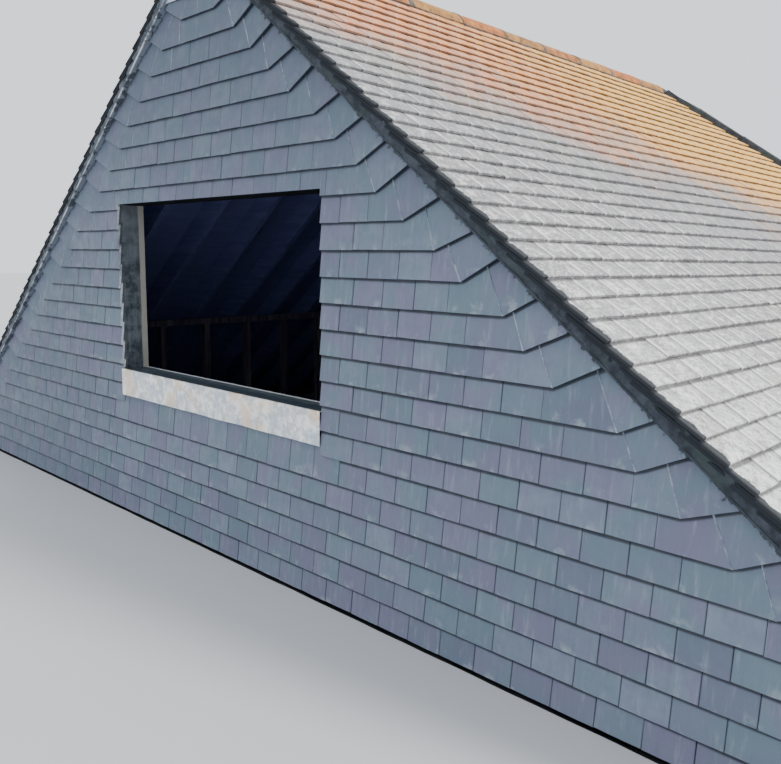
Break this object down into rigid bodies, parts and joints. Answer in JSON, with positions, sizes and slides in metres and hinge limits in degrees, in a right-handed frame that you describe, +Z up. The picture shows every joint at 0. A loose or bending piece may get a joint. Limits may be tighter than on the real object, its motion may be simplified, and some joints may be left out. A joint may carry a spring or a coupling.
{
  "type": "tile-hung gable dormer with a hipped rear roof",
  "caption": "Tile-hung timber gable with a window opening and lead apron under a steep plain-tiled roof, hipped at the rear; hollow, open underneath, stands on a level floor.",
  "frame": {"origin": "bottom centre of the bounding box, on the floor that the base plates stand on", "axes": "+X to the right along the gable seen from outside, +Y from the gable into the building, +Z up"},
  "size_m": [7.57, 8.405, 3.0647],
  "materials": {
    "timber_frame": "sawn, dull",
    "wall_sheathing": "board, dull",
    "treated_batten": "sawn, dull",
    "hung_tile": "matt, smooth",
    "lining_board": "dull, stained",
    "sill_timber": "dull, stained",
    "lead_sheet": "dull metal, patinated",
    "black_fillet": "dull",
    "undercloak_board": "matt",
    "verge_mortar": "rough, mossy",
    "rafter_timber": "sawn, dull",
    "roof_boarding": "board, dull",
    "roof_tile": "matt, sanded and weathered",
    "ridge_clay": "matt, weathered",
    "hip_clay": "matt, weathered",
    "fascia_paint": "satin paint"
  },
  "bodies": {
    "root": {"base_plates": "timber_frame", "gable_studs_left": "timber_frame", "gable_studs_right": "timber_frame", "gable_studs_over": "timber_frame", "gable_studs_under": "timber_frame", "window_head_beam": "timber_frame", "window_sill_rail": "timber_frame", "sheathing_left": "wall_sheathing", "sheathing_right": "wall_sheathing", "sheathing_over": "wall_sheathing", "sheathing_under": "wall_sheathing", "wall_battens": "treated_batten", "tile_hanging_left": "hung_tile", "tile_hanging_right": "hung_tile", "tile_hanging_over": "hung_tile", "tile_hanging_under": "hung_tile", "verge_cut_tiles_left": "hung_tile", "verge_cut_tiles_right": "hung_tile", "jamb_lining_left": "lining_board", "jamb_lining_right": "lining_board", "head_lining": "lining_board", "sill_board": "sill_timber", "lead_apron": "lead_sheet", "apex_flashing": "lead_sheet", "tilting_fillet": "black_fillet", "undercloaks": "undercloak_board", "verge_bedding_left": "verge_mortar", "verge_bedding_right": "verge_mortar", "rafters_left": "rafter_timber", "rafters_right": "rafter_timber", "rafters_rear": "rafter_timber", "hip_rafters": "rafter_timber", "ridge_board": "rafter_timber", "sarking_left": "roof_boarding", "sarking_right": "roof_boarding", "sarking_rear": "roof_boarding", "roof_battens": "treated_batten", "roof_tiles_left": "roof_tile", "roof_tiles_right": "roof_tile", "roof_tiles_rear": "roof_tile", "ridge_tiles": "ridge_clay", "ridge_end_bedding": "verge_mortar", "hip_tiles": "hip_clay", "knee_wall_left": "timber_frame", "knee_wall_right": "timber_frame", "fascia_boards": "fascia_paint"}
  },
  "joints": []
}
